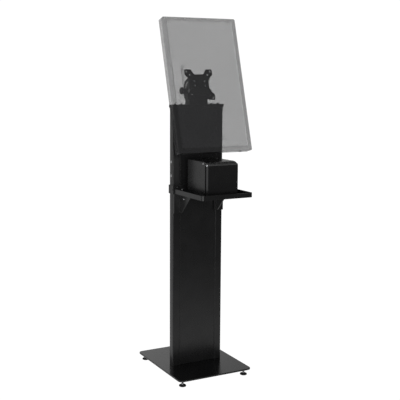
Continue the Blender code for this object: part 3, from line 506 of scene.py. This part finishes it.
def strip_mesh(low, high, edge):
    """An upright strip between two corners, its long edges rounded."""
    bm = bmesh.new()
    corners = [(low.x, low.y), (high.x, low.y), (high.x, high.y), (low.x, high.y)]
    face = bm.faces.new([bm.verts.new((x, y, low.z)) for x, y in corners])
    pushed = bmesh.ops.extrude_face_region(bm, geom=[face])
    moved = [item for item in pushed["geom"] if isinstance(item, bmesh.types.BMVert)]
    bmesh.ops.translate(bm, vec=(0, 0, high.z - low.z), verts=moved)
    bmesh.ops.recalc_face_normals(bm, faces=bm.faces)
    upright = [item for item in bm.edges if abs(item.verts[0].co.z - item.verts[1].co.z) > edge]
    bmesh.ops.bevel(bm, geom=upright, offset=edge, segments=2, profile=0.5, affect="EDGES")
    mesh = bpy.data.meshes.new("strip")
    bm.to_mesh(mesh)
    bm.free()
    return mesh


def make_groove_lips():
    """The uprights' folded lips: they close the grooves beside the panels, so that no light comes through."""
    clearance = 0.05 * MM
    edge = 0.1 * MM
    thickness_share = 0.45  # of the panel's own thickness, from its middle inward
    upright_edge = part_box("upright_right")[0].x
    for panel, inward in (("front_panel", 1), ("rear_panel", -1)):
        low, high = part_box(panel)
        middle = (low.y + high.y) / 2
        near, far = sorted((middle, middle + inward * (high.y - low.y) * thickness_share))
        for side, direction in SIDES:
            left, right = sorted((direction * (high.x + clearance), direction * (upright_edge - clearance)))
            mesh = strip_mesh(Vector((left, near, low.z)), Vector((right, far, high.z)), edge)
            add_piece(f"{panel}_lip_{side}", mesh, "powder_coat", "stand")


def make_small_screws():
    """Screws through the gussets, the shelf's flanges, the printer's casing and its front cover."""
    small = screw_rings(head=3.4 * MM, crown=1.6 * MM, socket=1.1 * MM, shank=1.5 * MM, length=1.6 * MM)
    large = screw_rings(head=4.2 * MM, crown=2.2 * MM, socket=1.2 * MM, shank=1.5 * MM, length=1.6 * MM)
    casing_low, casing_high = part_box("printer_casing")
    cover_low, cover_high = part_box("printer_front_cover")
    bracket_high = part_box("shelf_bracket_left")[1]
    gusset_outer = 79 * MM
    gusset_depth, gusset_height = bracket_high.y - 35 * MM, 682 * MM
    flange_middle, flange_front, flange_height = 71.3 * MM, -5 * MM, bracket_high.z - 16.5 * MM
    casing_depth, casing_height = casing_low.y + 12 * MM, casing_high.z - 6 * MM
    cover_depth, cover_height = cover_low.y + 7.5 * MM, cover_high.z - 11 * MM
    for side, direction in SIDES:
        sideways = (direction, 0, 0)
        places = (
            ("gusset", small, "steel", "stand", sideways,
             (direction * gusset_outer, gusset_depth, gusset_height)),
            ("flange", small, "steel", "stand", (0, -1, 0),
             (direction * flange_middle, flange_front, flange_height)),
            ("casing", small, "steel", "stand", sideways,
             (direction * casing_high.x, casing_depth, casing_height)),
            ("cover", large, "zinc", "printer_cover", sideways,
             (direction * cover_high.x, cover_depth, cover_height)),
        )
        for kind, rings, slot, body, toward, seat in places:
            mesh = stacked_rings(rings, ROUND_STEPS)
            add_piece(f"{kind}_screw_{side}", mesh, slot, body, facing(toward, seat))


def make_knob():
    """The clamping knob: a moulded grip with flutes, a domed face and a neck on the stud."""
    low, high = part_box("lock_knob")
    middle = (low + high) / 2
    length = high.x - low.x
    radius = (high.z - low.z) / 2
    flutes = 12
    flute_depth = 0.045  # of the radius
    steps = 96

    def fluted(share):
        return lambda angle: radius * share * (1 - flute_depth * (0.5 + 0.5 * math.cos(flutes * angle)))

    rings = [
        (0.0, 6 * MM),
        (length * 0.36, 6.2 * MM),
        (length * 0.42, 7.5 * MM),
        (length * 0.44, fluted(0.86)),
        (length * 0.50, fluted(0.97)),
        (length * 0.56, fluted(1.0)),
        (length * 0.74, fluted(1.0)),
        (length * 0.82, fluted(0.96)),
        (length * 0.88, fluted(0.86)),
        (length * 0.90, 9 * MM),
        (length * 0.88, 8 * MM),
        (length * 0.88, 5 * MM),
        (length * 0.96, 3.5 * MM),
        (length * 0.99, 1.5 * MM),
    ]
    place = facing((-1, 0, 0), (high.x, middle.y, middle.z))
    knob = add_piece("knob_grip", stacked_rings(rings, steps), "plastic_black", "lock_knob", place)
    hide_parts("lock_knob")


def make_stems():
    """Threaded stems of the levelling feet, pitch 1.25 mm, with a real helix."""
    pitch = 1.25 * MM
    thread_depth = 0.7 * MM
    rings_per_turn = 6
    end_share = 0.9  # the ends are this much of the thread's core
    for name in ("front_left", "front_right", "rear_left", "rear_right"):
        node = f"foot_stem_{name}"
        low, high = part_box(node)
        middle = (low + high) / 2
        outer = (high.x - low.x) / 2
        inner = outer - thread_depth
        length = high.z - low.z
        count = int(length / pitch * rings_per_turn)

        def thread(height):
            def radius(angle):
                phase = (height / pitch - angle / math.tau) % 1.0
                return inner + (outer - inner) * (1 - abs(2 * phase - 1))
            return radius

        rings = [(0.0, inner * end_share)]
        for step in range(1, count):
            height = length * step / count
            rings.append((height, thread(height)))
        rings.append((length, inner * end_share))
        mesh = stacked_rings(rings, ROUND_STEPS)
        place = Matrix.Translation((middle.x, middle.y, low.z))
        stem = add_piece(f"threaded_stem_{name}", mesh, "steel", f"foot_screw_{name}", place)
        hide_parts(node)


# ---------------------------------------------------------------- studio

CAMERA_PLACE = (-1.4426, -2.6043, 1.1209)
CAMERA_DOWN = math.radians(8.63)      # below level
CAMERA_RIGHT = math.radians(26.64)    # right of +Y
CAMERA_LENS = 71.51                   # millimetres
CAMERA_SENSOR = 36.0                  # millimetres
CAMERA_SHIFT = 0.0846                 # share of the sensor's width
FLOOR_HALF = 12.0
FLOOR_HEIGHT = -0.5 * MM              # just under the feet
FLOOR_BACK = Vector((-0.35, 0.93, 0.0))  # towards the bright end of the floor
ROOM_BACK = Vector((-0.6, 0.8, 0.0))     # towards the bright end of the room
# The room's strength from its front (0) to its back (1).
ROOM_STRENGTHS = ((0.0, 0.09), (0.5, 0.20), (0.66, 0.42), (0.72, 0.70), (1.0, 0.60))
WHITE = 1.05                          # strength that the camera sees as white
LIGHT_TARGET = (0, 0, 0.7)            # about the kiosk's middle


def make_camera():
    data = bpy.data.cameras.new("camera")
    data.lens = CAMERA_LENS
    data.sensor_width = CAMERA_SENSOR
    data.shift_x = CAMERA_SHIFT
    data.clip_start = 0.05
    data.clip_end = 60.0
    camera = bpy.data.objects.new("camera", data)
    camera.location = CAMERA_PLACE
    camera.rotation_euler = (math.pi / 2 - CAMERA_DOWN, 0, -CAMERA_RIGHT)
    bpy.context.scene.collection.objects.link(camera)
    bpy.context.scene.camera = camera


def seen_white(tree, rest):
    """White for the camera; the strength rest for light and reflections."""
    seen = tree.nodes.new("ShaderNodeLightPath").outputs["Is Camera Ray"]
    unseen = math_node(tree, "SUBTRACT", 1.0, seen)
    dimmed = math_node(tree, "MULTIPLY", rest, unseen)
    return math_node(tree, "ADD", dimmed, math_node(tree, "MULTIPLY", seen, WHITE))


def make_floor():
    """A plain white floor that shines by itself, so that it meets the white backdrop without a line.

    As light and in reflections it is dimmer far away and towards the front.
    """
    bm = bmesh.new()
    corners = [(-1, -1), (1, -1), (1, 1), (-1, 1)]
    bm.faces.new([bm.verts.new((x * FLOOR_HALF, y * FLOOR_HALF, FLOOR_HEIGHT)) for x, y in corners])
    mesh = bpy.data.meshes.new("floor")
    bm.to_mesh(mesh)
    bm.free()
    material = bpy.data.materials.new("floor_white")
    material.use_nodes = True
    tree = material.node_tree
    tree.nodes.clear()
    shine = tree.nodes.new("ShaderNodeEmission")
    output = tree.nodes.new("ShaderNodeOutputMaterial")
    place = object_place(tree)
    distance = vector_node(tree, "LENGTH", place, (0, 0, 0))
    nearness = spread(tree, distance, low=0.66, high=0.46, start=0.4, stop=2.0)
    toward_back = vector_node(tree, "DOT_PRODUCT", place, FLOOR_BACK)
    loss = spread(tree, toward_back, low=0.40, high=0.0, start=-1.6, stop=0.0)
    rest = math_node(tree, "SUBTRACT", nearness, loss)
    tree.links.new(seen_white(tree, rest), shine.inputs["Strength"])
    tree.links.new(shine.outputs["Emission"], output.inputs["Surface"])
    mesh.materials.append(material)
    floor = bpy.data.objects.new("floor", mesh)
    bpy.context.scene.collection.objects.link(floor)


def make_world():
    """A white studio: bright backdrop behind and beside the kiosk, a dim room in front of it."""
    world = bpy.data.worlds.new("studio")
    bpy.context.scene.world = world
    world.use_nodes = True
    tree = world.node_tree
    tree.nodes.clear()
    background = tree.nodes.new("ShaderNodeBackground")
    background.inputs["Color"].default_value = (1, 1, 1, 1)
    output = tree.nodes.new("ShaderNodeOutputWorld")
    direction = tree.nodes.new("ShaderNodeTexCoord").outputs["Generated"]
    toward_back = vector_node(tree, "DOT_PRODUCT", direction, ROOM_BACK)
    room = tree.nodes.new("ShaderNodeValToRGB")
    ramp = room.color_ramp
    for place, _ in ROOM_STRENGTHS[1:-1]:
        ramp.elements.new(place)
    for element, (_, strength) in zip(ramp.elements, ROOM_STRENGTHS):
        element.color = (strength, strength, strength, 1)
    share = spread(tree, toward_back, low=0, high=1, start=-1, stop=1)
    tree.links.new(share, room.inputs["Fac"])
    tree.links.new(seen_white(tree, room.outputs["Color"]), background.inputs["Strength"])
    tree.links.new(background.outputs["Background"], output.inputs["Surface"])


def add_light(name, place, size, power):
    """An area light that points at LIGHT_TARGET, with its size in metres and its power in watts."""
    data = bpy.data.lights.new(name, "AREA")
    data.shape = "RECTANGLE"
    data.size = size[0]
    data.size_y = size[1]
    data.energy = power
    light = bpy.data.objects.new(name, data)
    light.location = place
    light.rotation_mode = "QUATERNION"
    light.rotation_quaternion = (Vector(LIGHT_TARGET) - Vector(place)).to_track_quat("-Z", "Y")
    bpy.context.scene.collection.objects.link(light)


def make_lights():
    add_light("overhead_soft", place=(0.4, -0.3, 3.2), size=(2.4, 2.4), power=12)
    add_light("front_fill", place=(-1.2, -2.7, 0.9), size=(2.0, 1.6), power=42)


def set_colour():
    """Plain colours, and enough see-through layers for the display."""
    scene = bpy.context.scene
    scene.view_settings.view_transform = "Standard"
    scene.cycles.transparent_max_bounces = 32


paint_cad()
soften_edges()
make_screws()
make_plate_screws()
make_inserts()
make_groove_lips()
make_small_screws()
make_knob()
make_stems()
make_camera()
make_floor()
make_world()
make_lights()
set_colour()
